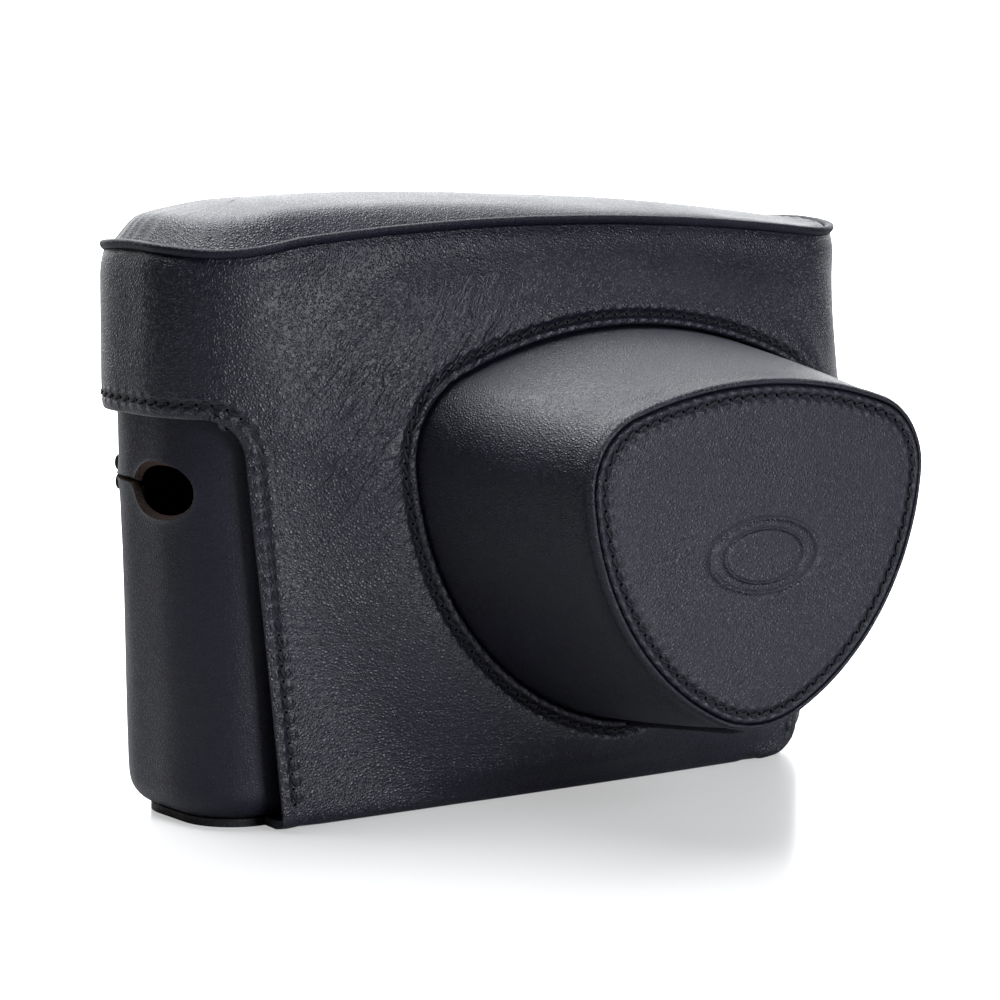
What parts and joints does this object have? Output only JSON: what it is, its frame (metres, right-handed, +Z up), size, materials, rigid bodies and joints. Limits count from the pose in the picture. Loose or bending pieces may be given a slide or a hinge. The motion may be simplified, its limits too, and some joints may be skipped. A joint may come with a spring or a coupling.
{
  "type": "leather camera ever-ready case",
  "caption": "Stitched leather ever-ready case for a rangefinder camera, with a rounded-triangle lens nose and a drop-front cover",
  "frame": {"origin": "centre of the base's footprint under the case body, on the surface it stands on", "axes": "+X across the case to the viewer's right from the front, nose towards -Y, +Z up"},
  "size_m": [0.1528, 0.0952, 0.1083],
  "materials": {
    "leather_smooth": "smooth blue-black full-grain leather, matte with a soft sheen",
    "leather_grained": "blue-black leather with a fine pebbled grain, semi-matte",
    "leather_cut_edge": "cut leather edge, dyed and burnished",
    "lining_suede": "short-napped suede lining",
    "felt": "wool felt",
    "board": "pressed fibre board",
    "nickel": "nickel-plated brass, satin"
  },
  "bodies": {
    "half_case": {"half_case_shell": "leather_smooth", "half_case_lining": "lining_suede", "floor_board": "board", "sole": "leather_smooth", "hinge_strip": "leather_grained", "screw_dish": "nickel", "tab_anchor": "leather_smooth", "tab_rivets": "nickel"},
    "cover": {"cover_wall": "leather_grained", "cover_lining": "lining_suede", "top_piping": "leather_smooth", "top_panel": "leather_smooth", "top_felt": "felt", "top_board": "board", "top_lining": "lining_suede", "nose_tube": "leather_smooth", "nose_lining": "lining_suede", "nose_welt": "leather_smooth", "nose_face": "leather_smooth", "nose_board": "board", "nose_felt": "felt", "nose_keel": "leather_cut_edge", "stud_post": "nickel", "stud_backing": "nickel"},
    "closing_tab": {"closing_tab": "leather_smooth", "stud_socket": "nickel", "stud_cap": "nickel"},
    "retaining_screw": {"retaining_screw": "nickel", "screw_keeper": "nickel"}
  },
  "joints": [
    {"name": "cover_hinge", "type": "hinge", "parent": "half_case", "child": "cover", "pos_m": [0, -0.0219, 0.001], "axis": [1, 0, 0], "range_deg": [0, 110]},
    {"name": "tab_hinge", "type": "hinge", "parent": "half_case", "child": "closing_tab", "pos_m": [0, 0.02167, 0.0459], "axis": [-1, 0, 0], "range_deg": [0, 150]},
    {"name": "screw_turn", "type": "hinge", "parent": "half_case", "child": "retaining_screw", "pos_m": [0, 0, 0.005], "axis": [0, 0, 1], "continuous": true}
  ]
}
